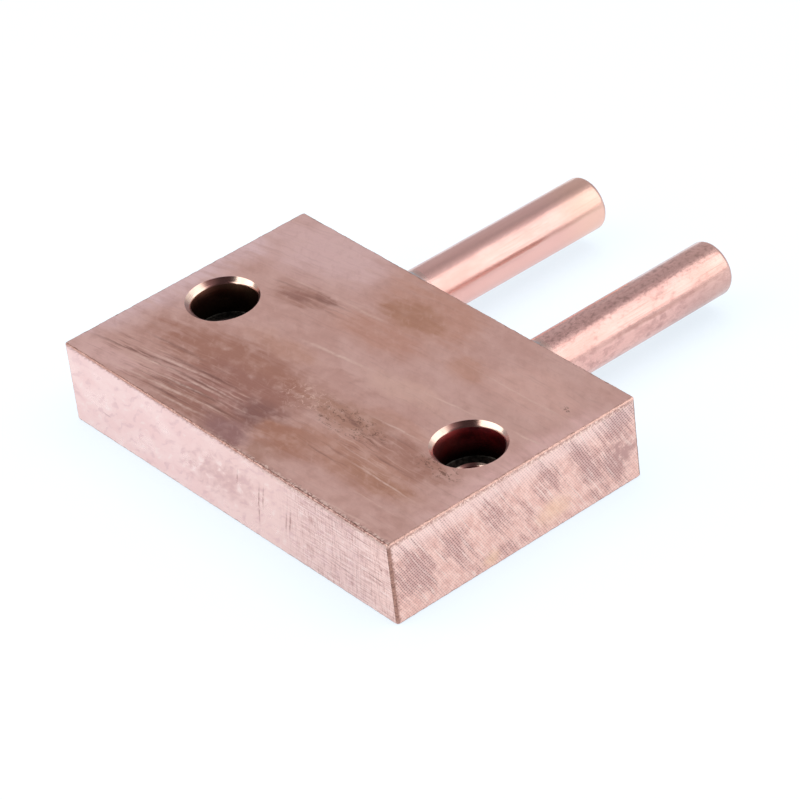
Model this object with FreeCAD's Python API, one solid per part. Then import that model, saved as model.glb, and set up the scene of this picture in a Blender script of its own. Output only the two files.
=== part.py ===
"""Liquid cooling cold plate: a drilled copper bar with two brazed water tubes.

Frame: the origin is the centre of the underside, which is the heat-transfer face.
+X runs along the bar, +Y from the front long face towards the tubes, +Z up.
All sizes are in millimetres.
"""

import FreeCAD
import Part
import math
import os

Vector = FreeCAD.Vector

# The bar that the plate is cut from
PLATE_LENGTH = 80.0
PLATE_WIDTH = 50.0
PLATE_THICKNESS = 15.0
CORNER_ROUND = 0.4              # the four upright corners, dressed with a file
EDGE_BREAK = 0.3                # chamfer round the top and bottom faces

# Two counterbored holes for M6 cap screws, on the plate's long centre line
SCREW_SPACING = 60.0
SCREW_HOLE_RADIUS = 3.3
COUNTERBORE_RADIUS = 5.5
COUNTERBORE_DEPTH = 6.4
COUNTERBORE_RIM_CHAMFER = 0.8
SCREW_HOLE_CHAMFER = 0.55       # where the hole meets the counterbore's floor
UNDERSIDE_CHAMFER = 0.5

# Two water tubes, 3/8 inch outside with a 0.81 mm wall
TUBE_SPACING = 30.0
TUBE_HEIGHT = PLATE_THICKNESS / 2
TUBE_RADIUS = 9.525 / 2
TUBE_WALL = 0.81
TUBE_REACH = 40.5               # from the plate's back face to the cut end
CUT_END_TAPER = 0.8             # length over which the cutter has rolled the wall in
CUT_END_ROLL = 0.35             # how far it has rolled the outside in
CUT_END_LIP = 0.2               # how far the lip stands into the bore
CUT_END_LAND = 0.25             # length of the lip's own narrow bore
CONES_PER_ARC = 3               # small turned arcs are swept as this many cones

# Each tube's inner end is turned down to a spigot that bottoms in a drilled socket
SPIGOT_RADIUS = 4.5
SOCKET_DEPTH = 8.0
SOCKET_COUNTERSINK = 1.0

# Silver braze round each tube: it fills the countersink and climbs to the spigot's shoulder
BRAZE_RISE = 3.5
BRAZE_FOOT = 2.0

# Water passages: one from each socket, joined by a gallery drilled from the left end
PASSAGE_RADIUS = 3.75
GALLERY_RADIUS = 4.0
GALLERY_INSET = 8.0             # the gallery's axis, from the front long face
GALLERY_OVERRUN = 3.5           # past the second passage's axis
PASSAGE_OVERRUN = 1.0           # past the gallery's axis
DRILL_POINT_ANGLE = math.radians(118.0)

# A brazed slug closes the gallery's open end, flush with the plate's left end
PLUG_RADIUS = 5.0
PLUG_LENGTH = 6.5
PLUG_GROOVE = 0.6               # the V that the braze fills, half in the slug and half in the plate
CUTTER_CLEARANCE = 1.0          # how far a cutting solid starts outside the face that it enters

PLATE_BACK = PLATE_WIDTH / 2
PLATE_LEFT = -PLATE_LENGTH / 2
GALLERY_Y = GALLERY_INSET - PLATE_WIDTH / 2
SOCKET_FLOOR = PLATE_BACK - SOCKET_DEPTH
TUBE_BORE_RADIUS = TUBE_RADIUS - TUBE_WALL

UP = Vector(0, 0, 1)
BACKWARD = Vector(0, 1, 0)
RIGHTWARD = Vector(1, 0, 0)


def corners(*points):
    """Straight edges through half-section points, each given as (radius, distance along the axis)."""
    places = [Vector(radius, 0, along) for radius, along in points]
    return [Part.LineSegment(a, b).toShape() for a, b in zip(places, places[1:])]


def arc_points(rise, run):
    """Points on the arc that leaves a line at a tangent and stands off it by rise after run."""
    radius = (rise**2 + run**2) / (2 * rise)
    turn = math.asin(run / radius)
    angles = [turn * step / CONES_PER_ARC for step in range(CONES_PER_ARC + 1)]
    return [(radius * (1 - math.cos(angle)), radius * math.sin(angle)) for angle in angles]


def turned(edges, place, direction):
    """The solid that a closed half-section sweeps round its axis, set at a place and pointed."""
    section = Part.Face(Part.Wire(edges))
    solid = section.revolve(Vector(0, 0, 0), UP, 360)
    if solid.Volume < 0:
        solid.reverse()
    solid.Placement = FreeCAD.Placement(place, FreeCAD.Rotation(UP, direction))
    return solid


def drilled(radius, depth, place, direction):
    """What a twist drill removes: a cylinder that starts just outside its face and ends in a cone."""
    point = radius / math.tan(DRILL_POINT_ANGLE / 2)
    outline = corners(
        (0, -CUTTER_CLEARANCE),
        (radius, -CUTTER_CLEARANCE),
        (radius, depth),
        (0, depth + point),
        (0, -CUTTER_CLEARANCE),
    )
    return turned(outline, place, direction)


def counterbored_hole(x):
    """What is removed for one cap screw, from the underside up to the chamfered rim."""
    floor = PLATE_THICKNESS - COUNTERBORE_DEPTH
    rim = COUNTERBORE_RADIUS + COUNTERBORE_RIM_CHAMFER
    mouth = SCREW_HOLE_RADIUS + UNDERSIDE_CHAMFER
    outline = corners(
        (0, -CUTTER_CLEARANCE),
        (mouth, -CUTTER_CLEARANCE),
        (mouth, 0),
        (SCREW_HOLE_RADIUS, UNDERSIDE_CHAMFER),
        (SCREW_HOLE_RADIUS, floor - SCREW_HOLE_CHAMFER),
        (SCREW_HOLE_RADIUS + SCREW_HOLE_CHAMFER, floor),
        (COUNTERBORE_RADIUS, floor),
        (COUNTERBORE_RADIUS, PLATE_THICKNESS - COUNTERBORE_RIM_CHAMFER),
        (rim, PLATE_THICKNESS),
        (rim, PLATE_THICKNESS + CUTTER_CLEARANCE),
        (0, PLATE_THICKNESS + CUTTER_CLEARANCE),
        (0, -CUTTER_CLEARANCE),
    )
    return turned(outline, Vector(x, 0, 0), UP)


def tube_socket(x):
    """What is removed for one tube: the countersunk socket and the water passage beyond it."""
    sunk = SPIGOT_RADIUS + SOCKET_COUNTERSINK
    socket = corners(
        (0, -SOCKET_DEPTH),
        (SPIGOT_RADIUS, -SOCKET_DEPTH),
        (SPIGOT_RADIUS, -SOCKET_COUNTERSINK),
        (sunk, 0),
        (sunk, CUTTER_CLEARANCE),
        (0, CUTTER_CLEARANCE),
        (0, -SOCKET_DEPTH),
    )
    mouth = Vector(x, PLATE_BACK, TUBE_HEIGHT)
    depth = PLATE_BACK - GALLERY_Y + PASSAGE_OVERRUN
    passage = drilled(PASSAGE_RADIUS, depth, mouth, -BACKWARD)
    return [turned(socket, mouth, BACKWARD), passage]


def gallery():
    """What is removed for the cross gallery and for the seat of its plug."""
    entry = Vector(PLATE_LEFT, GALLERY_Y, TUBE_HEIGHT)
    depth = TUBE_SPACING / 2 - PLATE_LEFT + GALLERY_OVERRUN
    groove = PLUG_RADIUS + PLUG_GROOVE
    seat = corners(
        (0, -CUTTER_CLEARANCE),
        (groove, -CUTTER_CLEARANCE),
        (groove, 0),
        (PLUG_RADIUS, PLUG_GROOVE),
        (PLUG_RADIUS, PLUG_LENGTH),
        (0, PLUG_LENGTH),
        (0, -CUTTER_CLEARANCE),
    )
    return [drilled(GALLERY_RADIUS, depth, entry, RIGHTWARD), turned(seat, entry, RIGHTWARD)]


def block_body():
    """The plate itself: a length of bar with broken edges, drilled from three sides and the top."""
    bar = Part.makeBox(
        PLATE_LENGTH,
        PLATE_WIDTH,
        PLATE_THICKNESS,
        Vector(PLATE_LEFT, -PLATE_WIDTH / 2, 0),
    )
    upright = [edge for edge in bar.Edges if abs(edge.tangentAt(0).z) > 0.5]
    bar = bar.makeFillet(CORNER_ROUND, upright)
    level = [edge for edge in bar.Edges if edge.BoundBox.ZLength < 1e-6]
    bar = bar.makeChamfer(EDGE_BREAK, level)
    removed = gallery()
    for side in (-1, 1):
        removed.append(counterbored_hole(side * SCREW_SPACING / 2))
        removed += tube_socket(side * TUBE_SPACING / 2)
    return bar.cut(removed)


def water_tube(x):
    """A length of tube with a turned spigot at the plate and a rolled-in cut at its free end."""
    length = SOCKET_DEPTH + TUBE_REACH
    shoulder = SOCKET_DEPTH + BRAZE_RISE
    lip = TUBE_BORE_RADIUS - CUT_END_LIP
    roll_start = length - CUT_END_TAPER
    rolled = arc_points(CUT_END_ROLL, CUT_END_TAPER)
    outline = corners(
        (TUBE_BORE_RADIUS, 0),
        (SPIGOT_RADIUS, 0),
        (SPIGOT_RADIUS, shoulder),
        (TUBE_RADIUS, shoulder),
        *[(TUBE_RADIUS - inward, roll_start + along) for inward, along in rolled],
        (lip, length),
        (lip, length - CUT_END_LAND),
        (TUBE_BORE_RADIUS, roll_start),
        (TUBE_BORE_RADIUS, 0),
    )
    return turned(outline, Vector(x, SOCKET_FLOOR, TUBE_HEIGHT), BACKWARD)


def tube_braze(x):
    """The braze round one tube: a wedge in the countersink under a hollow fillet on the back face."""
    fillet = reversed(arc_points(BRAZE_FOOT, BRAZE_RISE))
    outline = corners(
        (SPIGOT_RADIUS, -SOCKET_COUNTERSINK),
        (SPIGOT_RADIUS + SOCKET_COUNTERSINK, 0),
        *[(TUBE_RADIUS + outward, BRAZE_RISE - along) for outward, along in fillet],
        (SPIGOT_RADIUS, BRAZE_RISE),
        (SPIGOT_RADIUS, -SOCKET_COUNTERSINK),
    )
    return turned(outline, Vector(x, PLATE_BACK, TUBE_HEIGHT), BACKWARD)


def gallery_plug():
    """The slug in the gallery's end, with its outer edge bevelled for the braze."""
    outline = corners(
        (0, 0),
        (PLUG_RADIUS - PLUG_GROOVE, 0),
        (PLUG_RADIUS, PLUG_GROOVE),
        (PLUG_RADIUS, PLUG_LENGTH),
        (0, PLUG_LENGTH),
        (0, 0),
    )
    return turned(outline, Vector(PLATE_LEFT, GALLERY_Y, TUBE_HEIGHT), RIGHTWARD)


def plug_braze():
    """The braze that fills the V round the plug, dressed flush with the plate's end."""
    outline = corners(
        (PLUG_RADIUS - PLUG_GROOVE, 0),
        (PLUG_RADIUS + PLUG_GROOVE, 0),
        (PLUG_RADIUS, PLUG_GROOVE),
        (PLUG_RADIUS - PLUG_GROOVE, 0),
    )
    return turned(outline, Vector(PLATE_LEFT, GALLERY_Y, TUBE_HEIGHT), RIGHTWARD)


NODES = {
    "block_body": block_body(),
    "inlet_tube": water_tube(-TUBE_SPACING / 2),
    "outlet_tube": water_tube(TUBE_SPACING / 2),
    "inlet_braze_ring": tube_braze(-TUBE_SPACING / 2),
    "outlet_braze_ring": tube_braze(TUBE_SPACING / 2),
    "gallery_plug": gallery_plug(),
    "plug_braze_ring": plug_braze(),
}

os.makedirs("parts", exist_ok=True)
for name, shape in NODES.items():
    shape.exportStep(f"parts/{name}.step")
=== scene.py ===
"""The liquid cooling cold plate, dressed: worn machined copper on a white table.

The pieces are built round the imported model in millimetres, in its own frame: +X along the bar,
+Y towards the tubes, +Z up from the underside. Meshes are written in metres.
"""

import math

import bmesh
import bpy
from mathutils import Matrix, Vector, noise


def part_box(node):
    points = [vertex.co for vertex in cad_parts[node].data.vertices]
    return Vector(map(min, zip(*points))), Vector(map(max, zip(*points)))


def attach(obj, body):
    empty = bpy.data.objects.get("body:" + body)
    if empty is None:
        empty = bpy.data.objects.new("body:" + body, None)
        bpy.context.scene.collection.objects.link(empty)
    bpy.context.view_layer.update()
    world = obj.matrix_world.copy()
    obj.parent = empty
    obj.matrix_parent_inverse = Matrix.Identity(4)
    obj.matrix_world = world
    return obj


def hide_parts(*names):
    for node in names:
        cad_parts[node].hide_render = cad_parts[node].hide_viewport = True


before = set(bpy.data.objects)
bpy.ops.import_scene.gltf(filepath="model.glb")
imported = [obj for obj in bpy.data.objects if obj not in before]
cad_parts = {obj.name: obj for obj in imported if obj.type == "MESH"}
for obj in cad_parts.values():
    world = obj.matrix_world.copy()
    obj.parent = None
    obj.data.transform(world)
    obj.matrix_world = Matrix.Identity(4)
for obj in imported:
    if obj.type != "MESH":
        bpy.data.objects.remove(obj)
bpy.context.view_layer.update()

MM = 0.001
UP, BACKWARD, RIGHTWARD = Vector((0, 0, 1)), Vector((0, 1, 0)), Vector((1, 0, 0))

BAR_TOP_CORNER = [round(value / MM, 3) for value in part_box("block_body")[1]]
TUBE_TIP = round(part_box("inlet_tube")[1].y / MM, 3)

# The bar
HALF_LENGTH, HALF_WIDTH, THICKNESS = BAR_TOP_CORNER
CORNER_ROUND = 0.4
CORNER_STEPS = 6
EDGE_BREAK, EDGE_LEAST, EDGE_MOST = 0.3, 0.14, 0.38
EDGE_ROWS = 4
EDGE_STEP = 0.3                 # spacing of the points along a broken edge
CORNER_ROW = 0.45               # spacing of the points up a corner
CORNER_MARGIN = 1.0             # from the top and bottom faces to the first and last of them
FINE_DENT, BROAD_DENT = 0.05, 0.06      # how deep the file's dents go in a corner
CUTTER_CENTRE = (-70, -6, 0)    # of the arcs that milled the underside
CAVITY_DEPTH = 0.2              # what lies deeper than this in the CAD bar is a cavity

# Its two counterbored screw holes: radius and height, from the rim down to the underside
SCREW_X = 30.0
SCREW_CLEARANCE = 6.6           # CAD faces nearer than this to a screw's axis are its hole's
COUNTERBORE_RADIUS, RIM_DEPTH, RIM_STEPS = 5.5, 0.8, 3
SEAT_HEIGHT = 8.6
COUNTERBORE = ((5.5, 14.2), (5.5, 11.4), (5.5, 8.75), (5.35, SEAT_HEIGHT), (3.9, SEAT_HEIGHT))
SEAT_CHAMFER = ((3.9, SEAT_HEIGHT), (3.6, 8.32), (3.3, 8.05))
SCREW_HOLE = ((3.3, 8.05), (3.3, 4.3), (3.3, 0.5))
LOWER_CHAMFER = ((3.3, 0.5), (3.55, 0.25), (3.8, 0.0))
RIM_WIDTHS = {-1: 0.98, 1: 0.78}    # the left rim is countersunk a little wider
RIM_NARROWING = {-1: 0.6, 1: 0.25}  # the share of its width that a rim loses on its narrow side
NARROW_AZIMUTH = math.radians(35)

# The water tubes and their braze, as distances from the bar's back face
TUBE_X, TUBE_HEIGHT = 15.0, 7.5
TUBE_RADIUS, BORE_RADIUS, SPIGOT_RADIUS = 4.7625, 3.9525, 4.5
SOCKET_DEPTH, TUBE_REACH = 8.0, TUBE_TIP - HALF_WIDTH
ROLL_LENGTH, ROLL_DEPTH, ROLL_STEPS = 0.8, 0.35, 10
LIP_RADIUS, LIP_BEVEL, LIP_LENGTH = 3.7525, 0.1, 0.25
BURR_INWARD, BURR_SHORT = 0.05, 0.06    # how far the burr wavers
BRAZE_RISE, BRAZE_FOOT, COUNTERSINK = 3.5, 2.0, 1.0
FILLET_STEPS, FILLET_RIPPLE = 8, 0.12

# The gallery's plug, from the bar's left end
PLUG_Y, PLUG_RADIUS, PLUG_LENGTH, PLUG_GROOVE = -17.0, 5.0, 6.5, 0.6
PLUG_CHAMFER, PLUG_DIMPLE, DIMPLE_START, DIMPLE_END = 0.3, 0.01, 1.5, 3.0
RING_DIMPLE, RING_HALF = 0.03, 0.2

# The light: azimuth from +X towards +Y and elevation, in degrees
RIGHT_LAMP = (50, 33)
LEFT_LAMP = (246, 37)
CEILING = (0, 90)
DARK_SIDE = (-36, 52)
TABLE_GLOW = 0.76
TABLE_HALF, TABLE_DROP = 3.0, 2e-5      # in metres

# The sides of the screw holes, given in the same way: where the rims' painted shade is darkest, where the
# bores' painted reddish reflection lies, and the bores' painted lit side
RIM_SHADE = (150, 0)
RUDDY_SIDE = (198, 0)
LIT_SIDE = (10, 0)

# The bar's materials, by number
TOP_FACE, LONG_SIDE, SAWN_END, UNDERSIDE, BROKEN_EDGE, HOLE_RIM, BORE, WATERWAY = range(8)

SEGMENTS = 96                   # round every turned surface
SHARP_ANGLE = math.radians(32)
WELD = 1e-4                     # vertices nearer than this are one
IN_PLANE = 1e-3                 # vertices nearer than this to a plane lie in it
UNLIKE = 40                     # far enough along the noise for another run of it


# ------------------------ material wiring


def aimed(azimuth, elevation):
    """The direction at an azimuth, in degrees from +X towards +Y, and an elevation."""
    turn, rise = math.radians(azimuth), math.radians(elevation)
    level = math.cos(rise)
    return Vector((math.cos(turn) * level, math.sin(turn) * level, math.sin(rise)))


def rgb(red, green, blue):
    """A colour written in 0 to 255 as the linear colour that a socket takes."""
    linear = []
    for channel in (red / 255, green / 255, blue / 255):
        dark = channel <= 0.04045
        linear.append(channel / 12.92 if dark else ((channel + 0.055) / 1.055) ** 2.4)
    return (*linear, 1.0)


class Graph:
    """A node tree whose nodes are added in code."""

    def __init__(self, tree):
        self.nodes = tree.nodes
        self.links = tree.links

    def put(self, socket, value):
        """Links a socket to another, or sets a plain value on it."""
        if isinstance(value, bpy.types.NodeSocket):
            self.links.new(value, socket)
        else:
            socket.default_value = value

    def node(self, kind, values=(), **settings):
        """A new node, with its settings made and its first inputs linked or set in order."""
        node = self.nodes.new(kind)
        for name, setting in settings.items():
            setattr(node, name, setting)
        for socket, value in zip(node.inputs, values):
            self.put(socket, value)
        return node

    def math(self, operation, *values):
        return self.node("ShaderNodeMath", values, operation=operation).outputs[0]

    def times(self, first, second):
        return self.math("MULTIPLY", first, second)

    def scaled(self, value, factor, added):
        """A value times a factor, plus what is added."""
        return self.math("MULTIPLY_ADD", value, factor, added)

    def away(self, value, middle):
        """How far a value is from a middle one, either way."""
        return self.math("ABSOLUTE", self.math("SUBTRACT", value, middle))

    def vector(self, operation, *values):
        node = self.node("ShaderNodeVectorMath", values, operation=operation)
        return node.outputs["Value" if operation in ("LENGTH", "DOT_PRODUCT") else "Vector"]

    def shade(self, kind, *values):
        """The output of a shader node, from its colour and what else it takes."""
        return self.node(kind, values).outputs[0]

    def blend(self, share, first, second):
        """The second shader over the first by a share from 0 to 1."""
        return self.shade("ShaderNodeMixShader", share, first, second)

    def stretch(self, place, x, y, z=1):
        """A place with its coordinates multiplied."""
        return self.vector("MULTIPLY", place, (x, y, z))

    def tilted(self, place, degrees):
        """The place turned about its third axis, for marks that run at a slant."""
        node = self.node("ShaderNodeVectorRotate", [place], rotation_type="Z_AXIS")
        node.inputs["Angle"].default_value = math.radians(degrees)
        return node.outputs[0]

    def split(self, place):
        """A place's three coordinates."""
        return self.node("ShaderNodeSeparateXYZ", [place]).outputs

    def join(self, x, y):
        """A flat place from two coordinates."""
        return self.node("ShaderNodeCombineXYZ", (x, y)).outputs[0]

    def grain(self, place, per_mm, detail=3.0, roughness=0.55, output="Fac"):
        """Noise with that many features to the millimetre along each axis."""
        node = self.node("ShaderNodeTexNoise", [self.stretch(place, *per_mm)])
        node.inputs["Scale"].default_value = 1.0
        node.inputs["Detail"].default_value = detail
        node.inputs["Roughness"].default_value = roughness
        return node.outputs[output]

    def ease(self, value, start, end, low=0.0, high=1.0):
        """A smooth step from low to high as value goes from start to end."""
        ends = (value, start, end, low, high)
        return self.node("ShaderNodeMapRange", ends, interpolation_type="SMOOTHSTEP").outputs[0]

    def mix(self, share, first, second):
        """The second colour over the first by a share from 0 to 1."""
        node = self.node("ShaderNodeMix", data_type="RGBA")
        self.put(node.inputs["Factor"], share)
        self.put(node.inputs["A"], first)
        self.put(node.inputs["B"], second)
        return node.outputs["Result"]

    def warp(self, place, scale, shift):
        """Places moved about by soft noise, by up to about the shift given along each axis."""
        cloud = self.grain(place, (scale, scale, scale), output="Color")
        around = self.vector("SUBTRACT", cloud, (0.5, 0.5, 0.5))
        return self.vector("MULTIPLY_ADD", around, [2 * length for length in shift], place)

    def patch(self, place, centre, half_size, tilt=0.0, soft=0.75):
        """1 in the middle of an ellipse on the XY plane and 0 outside it, tilted in degrees."""
        ellipse = (place, (*centre, 0), (0, 0, math.radians(tilt)), (*half_size, 1))
        node = self.node("ShaderNodeMapping", ellipse, vector_type="TEXTURE")
        return self.ease(self.vector("LENGTH", node.outputs[0]), 1.0, 1.0 - soft)

    def strongest(self, place, patches, soft=1.0):
        """The strongest of several patches at a place."""
        most = 0.0
        for centre, half_size, tilt, strength in patches:
            found = self.times(self.patch(place, centre, half_size, tilt, soft), strength)
            most = self.math("MAXIMUM", found, most)
        return most

    def flat(self, place):
        """The place without its third coordinate, for patches."""
        return self.stretch(place, 1, 1, 0)


class Finish(Graph):
    """A metal finish. Its place, and the x, y and z of it, are in millimetres."""

    def __init__(self, name, metal=1.0):
        self.material = bpy.data.materials.new(name)
        self.material.use_nodes = True
        super().__init__(self.material.node_tree)
        self.shader = self.nodes["Principled BSDF"]
        self.shader.inputs["Metallic"].default_value = metal
        coordinates = self.node("ShaderNodeTexCoord")
        self.place = self.stretch(coordinates.outputs["Object"], 1 / MM, 1 / MM, 1 / MM)
        self.x, self.y, self.z = self.split(self.place)

    def base(self, share, first, second):
        """The finish's own colour: the second over the first by a share from 0 to 1."""
        self.colour = self.mix(share, first, second)

    def tint(self, share, colour):
        """Lays a colour over the finish's own by a share from 0 to 1."""
        self.colour = self.mix(share, self.colour, colour)

    def finish(self, roughness, height, relief):
        """Wires the shader. Relief is how deep a height of 1 stands, in millimetres."""
        self.put(self.shader.inputs["Base Color"], self.colour)
        self.put(self.shader.inputs["Roughness"], roughness)
        bump = self.node("ShaderNodeBump")
        bump.inputs["Strength"].default_value = 1.0
        bump.inputs["Distance"].default_value = relief * MM
        self.put(bump.inputs["Height"], height)
        self.put(self.shader.inputs["Normal"], bump.outputs[0])
        return self.material


# ------------------------ finishes of the bar

# Stains on the top face: centre, half size, tilt in degrees, colour and strength
TOP_STAINS = (
    ((-45, 0), (15, 44), 0, rgb(255, 218, 218), 1.0),
    ((-27, 20), (20, 13), 0, rgb(248, 206, 201), 1.0),
    ((45, 4), (13, 44), 0, rgb(252, 204, 197), 1.0),
    ((-1, 20), (18, 12), -4, rgb(224, 169, 151), 1.0),
    ((-3, 16.5), (11, 5.5), 2, rgb(206, 150, 126), 1.0),
    ((-3, 10), (16, 6), 2, rgb(222, 166, 148), 0.95),
    ((15, 13), (9, 5), 4, rgb(222, 166, 146), 0.8),
    ((28, 15), (14, 8), 0, rgb(243, 194, 181), 0.8),
    ((-21, 8.5), (10, 3.8), 7, rgb(206, 155, 141), 1.0),
    ((-21.8, 8.4), (4.5, 1.7), 12, rgb(184, 132, 120), 0.8),
    ((-17.2, 10.6), (3.8, 1.3), 2, rgb(180, 130, 118), 0.8),
    ((-12, -2.5), (13, 4), 4, rgb(223, 170, 152), 0.9),
    ((11, 2.5), (14, 4.5), 3, rgb(243, 197, 182), 0.8),
    ((20, -4), (14, 2.8), 2, rgb(224, 171, 154), 0.8),
    ((-14, -10), (31, 9), 4, rgb(196, 140, 122), 1.0),
    ((-8, -12.5), (17, 6), 3, rgb(188, 133, 119), 1.0),
    ((-10, -17.5), (19, 5), 5, rgb(192, 138, 127), 1.0),
    ((-1, -17), (9, 6), 4, rgb(162, 114, 106), 1.0),
    ((-11, -22), (18, 4.8), 4, rgb(190, 137, 122), 1.0),
    ((9, -22.5), (9, 4.2), 0, rgb(200, 150, 133), 0.9),
    ((-2, -22.5), (9, 4.2), 0, rgb(178, 131, 127), 1.0),
    ((11, -8), (15, 4.8), 2, rgb(208, 157, 138), 1.0),
    ((26, -8.6), (14, 5.6), 0, rgb(200, 147, 131), 1.0),
    ((8, -17.5), (10, 6.4), 0, rgb(200, 142, 120), 1.0),
    ((21, -14.5), (22, 6.8), -1, rgb(214, 160, 141), 1.0),
    ((22, -22.5), (20, 4), 0, rgb(232, 184, 172), 0.9),
    ((27, -15), (13, 3), 0, rgb(204, 148, 124), 0.8),
    ((28, 7), (12, 5), 0, rgb(230, 184, 172), 0.8),
    ((-31, -22.5), (12, 4), 4, rgb(246, 200, 192), 0.9),
)

# Light scratches on the top face: centre, half size, tilt and strength
TOP_SCRATCHES = (
    ((-3.6, 1.9), (11, 0.5), 6.8, 1.0),
    ((20, 4.9), (8, 0.3), 7, 0.8),
    ((36, 6.8), (5.5, 0.34), 4, 0.9),
    ((33, 14), (7, 0.24), 1, 0.7),
    ((25, 13.7), (14, 0.24), 0.6, 0.7),
    ((-9, 12.6), (8, 0.4), 5, 0.6),
    ((-24, 11.2), (7, 0.3), 6, 0.5),
    ((19, -4.8), (8, 0.28), 3, 0.8),
    ((20, -13.2), (8, 0.2), -1, 0.6),
    ((27, -15.1), (11, 0.26), -1, 0.9),
    ((30, -19.4), (9, 0.24), 1, 0.5),
    ((-20, -16.4), (12, 0.42), 7, 0.9),
    ((-11, -16.9), (9, 0.3), 3, 0.8),
    ((-14, -17.9), (11, 0.44), 5, 0.9),
    ((-24, -18.6), (10, 0.36), 9, 0.8),
    ((-17, -19.7), (10, 0.36), 7, 0.8),
    ((-9, -20.6), (8, 0.3), 4, 0.7),
    ((-16, -21.6), (10, 0.42), 7, 0.9),
    ((-24, -22.6), (10, 0.36), 6, 0.7),
    ((-13, -23.2), (10, 0.4), 5, 0.8),
    ((28, -24), (10, 0.26), 3, 0.7),
)

# Dark scratches and rubbed streaks, in the same way
TOP_STREAKS = (
    ((-21, 8.0), (7, 0.8), 9, 0.4),
    ((-17, 10.4), (7, 0.9), 8, 0.45),
    ((-24, 9.6), (6, 0.5), 8, 0.35),
    ((-29, -18.6), (12, 0.6), 11, 0.9),
    ((-17, -15.2), (14, 0.6), 5, 0.7),
    ((-24, -13.6), (10, 0.5), 5, 0.6),
    ((-14, -17.3), (12, 0.36), 5, 0.7),
    ((-12, -19.2), (11, 0.6), 6, 0.8),
    ((-20, -21), (10, 0.44), 7, 0.7),
    ((-14, -22.4), (12, 0.44), 6, 0.8),
    ((-6, -20), (8, 0.6), 3, 0.7),
    ((12, -8), (5, 0.7), -14, 0.7),
    ((18, -9.6), (5, 0.5), -12, 0.7),
    ((24, -11.6), (8, 0.3), 0, 0.5),
    ((14, -16.6), (8, 0.3), -2, 0.5),
    ((24, -6.4), (8, 0.4), 3, 0.5),
)

# Where the top face is scored most: centre, half size, tilt and strength
TOP_WORKED = (
    ((-19, -18), (25, 9), 5, 1.0),
    ((20, -12), (26, 9), 0, 0.6),
    ((-18, 9), (14, 5), 6, 0.45),
)

# Where it is pitted, in the same way
TOP_PITTED = (
    ((12, -8.8), (11, 4.2), 0, 1.0),
    ((31, -7.4), (7, 2.6), 0, 1.0),
    ((34.5, 16), (1.4, 1.2), 0, 1.0),
)


def top_face():
    """The top face: brushed lengthwise, handled, rubbed and stained under a thin dull film."""
    made = Finish("top_face_copper", metal=0.8)
    flat = made.flat(made.place)
    bend = made.times(made.x, made.scaled(made.x, -0.001, 0.07))
    unbent = made.join(made.x, made.math("SUBTRACT", made.y, bend))
    brushed = made.warp(unbent, 0.12, (0, 0.9, 0))
    cloud = made.grain(flat, (0.09, 0.14), 5, 0.62)
    mottle = made.grain(made.warp(flat, 0.3, (1.2, 1.2, 0)), (0.32, 0.42), 4, 0.52)
    smear = made.grain(brushed, (0.1, 0.8), 5, 0.6)
    streak = made.grain(brushed, (0.1, 1.9), 5, 0.62)
    hair = made.grain(brushed, (0.3, 8), 3)
    wiped = made.grain(made.tilted(flat, 38), (0.4, 1), 3, 0.6)

    made.base(made.ease(cloud, 0.38, 0.62), rgb(236, 190, 179), rgb(226, 177, 165))
    loose = made.warp(made.warp(flat, 0.11, (5, 2.2, 0)), 0.5, (1.4, 0.6, 0))
    uneven = made.scaled(mottle, 0.3, made.scaled(smear, 2.2, -0.2))
    for centre, half_size, tilt, stain, strength in TOP_STAINS:
        spot = made.times(made.patch(loose, centre, half_size, tilt, 1), uneven)
        made.tint(made.ease(spot, 0, 0.8, 0, strength), stain)
    blotched = made.ease(made.y, 3, -8, 0.18, 0.32)
    made.tint(made.ease(mottle, 0.45, 0.75, 0, blotched), rgb(188, 136, 120))
    made.tint(made.ease(mottle, 0.55, 0.25, 0, blotched), rgb(250, 208, 196))
    made.tint(made.ease(wiped, 0.52, 0.75, 0, 0.14), rgb(190, 138, 124))
    made.tint(made.ease(wiped, 0.46, 0.25, 0, 0.18), rgb(255, 216, 204))

    rubbed = made.ease(made.strongest(loose, TOP_WORKED, 0.9), 0, 1, 0.12, 0.85)
    made.tint(made.times(made.ease(streak, 0.52, 0.68), rubbed), rgb(166, 116, 104))
    made.tint(made.times(made.ease(streak, 0.46, 0.3), rubbed), rgb(250, 208, 192))

    scratch_top(made, flat, streak)
    pits = pit_top(made, flat)
    paint_front_edge_light(made, flat)
    height = made.scaled(hair, 0.3, made.times(streak, rubbed))
    height = made.scaled(pits, -0.3, height)
    return made.finish(made.ease(smear, 0.3, 0.75, 0.3, 0.42), height, 0.010)


def scratch_top(made, flat, streak):
    """The top face's dark streaks and light scratches, and a scribble near its middle."""
    fine = made.warp(flat, 0.25, (0, 0.35, 0))
    scored = made.times(made.strongest(fine, TOP_STREAKS), made.ease(streak, 0.35, 0.55))
    made.tint(scored, rgb(146, 102, 92))
    dashed = made.grain(flat, (0.7, 0.3), 4, 0.7)
    dashes = made.ease(dashed, 0.35, 0.6, 0.35, 0.95)
    scratched = made.times(made.strongest(fine, TOP_SCRATCHES), dashes)
    made.tint(scratched, rgb(250, 212, 198))

    curled = made.grain(made.warp(flat, 0.9, (0.8, 0.8, 0)), (0.5, 0.7), 2)
    curl = made.ease(made.away(curled, 0.5), 0.022, 0.006)
    scribbled = made.times(made.patch(flat, (2, -8.8), (9, 4.6)), made.ease(dashed, 0.36, 0.5, 0, 0.85))
    made.tint(made.times(curl, scribbled), rgb(248, 206, 190))


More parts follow.
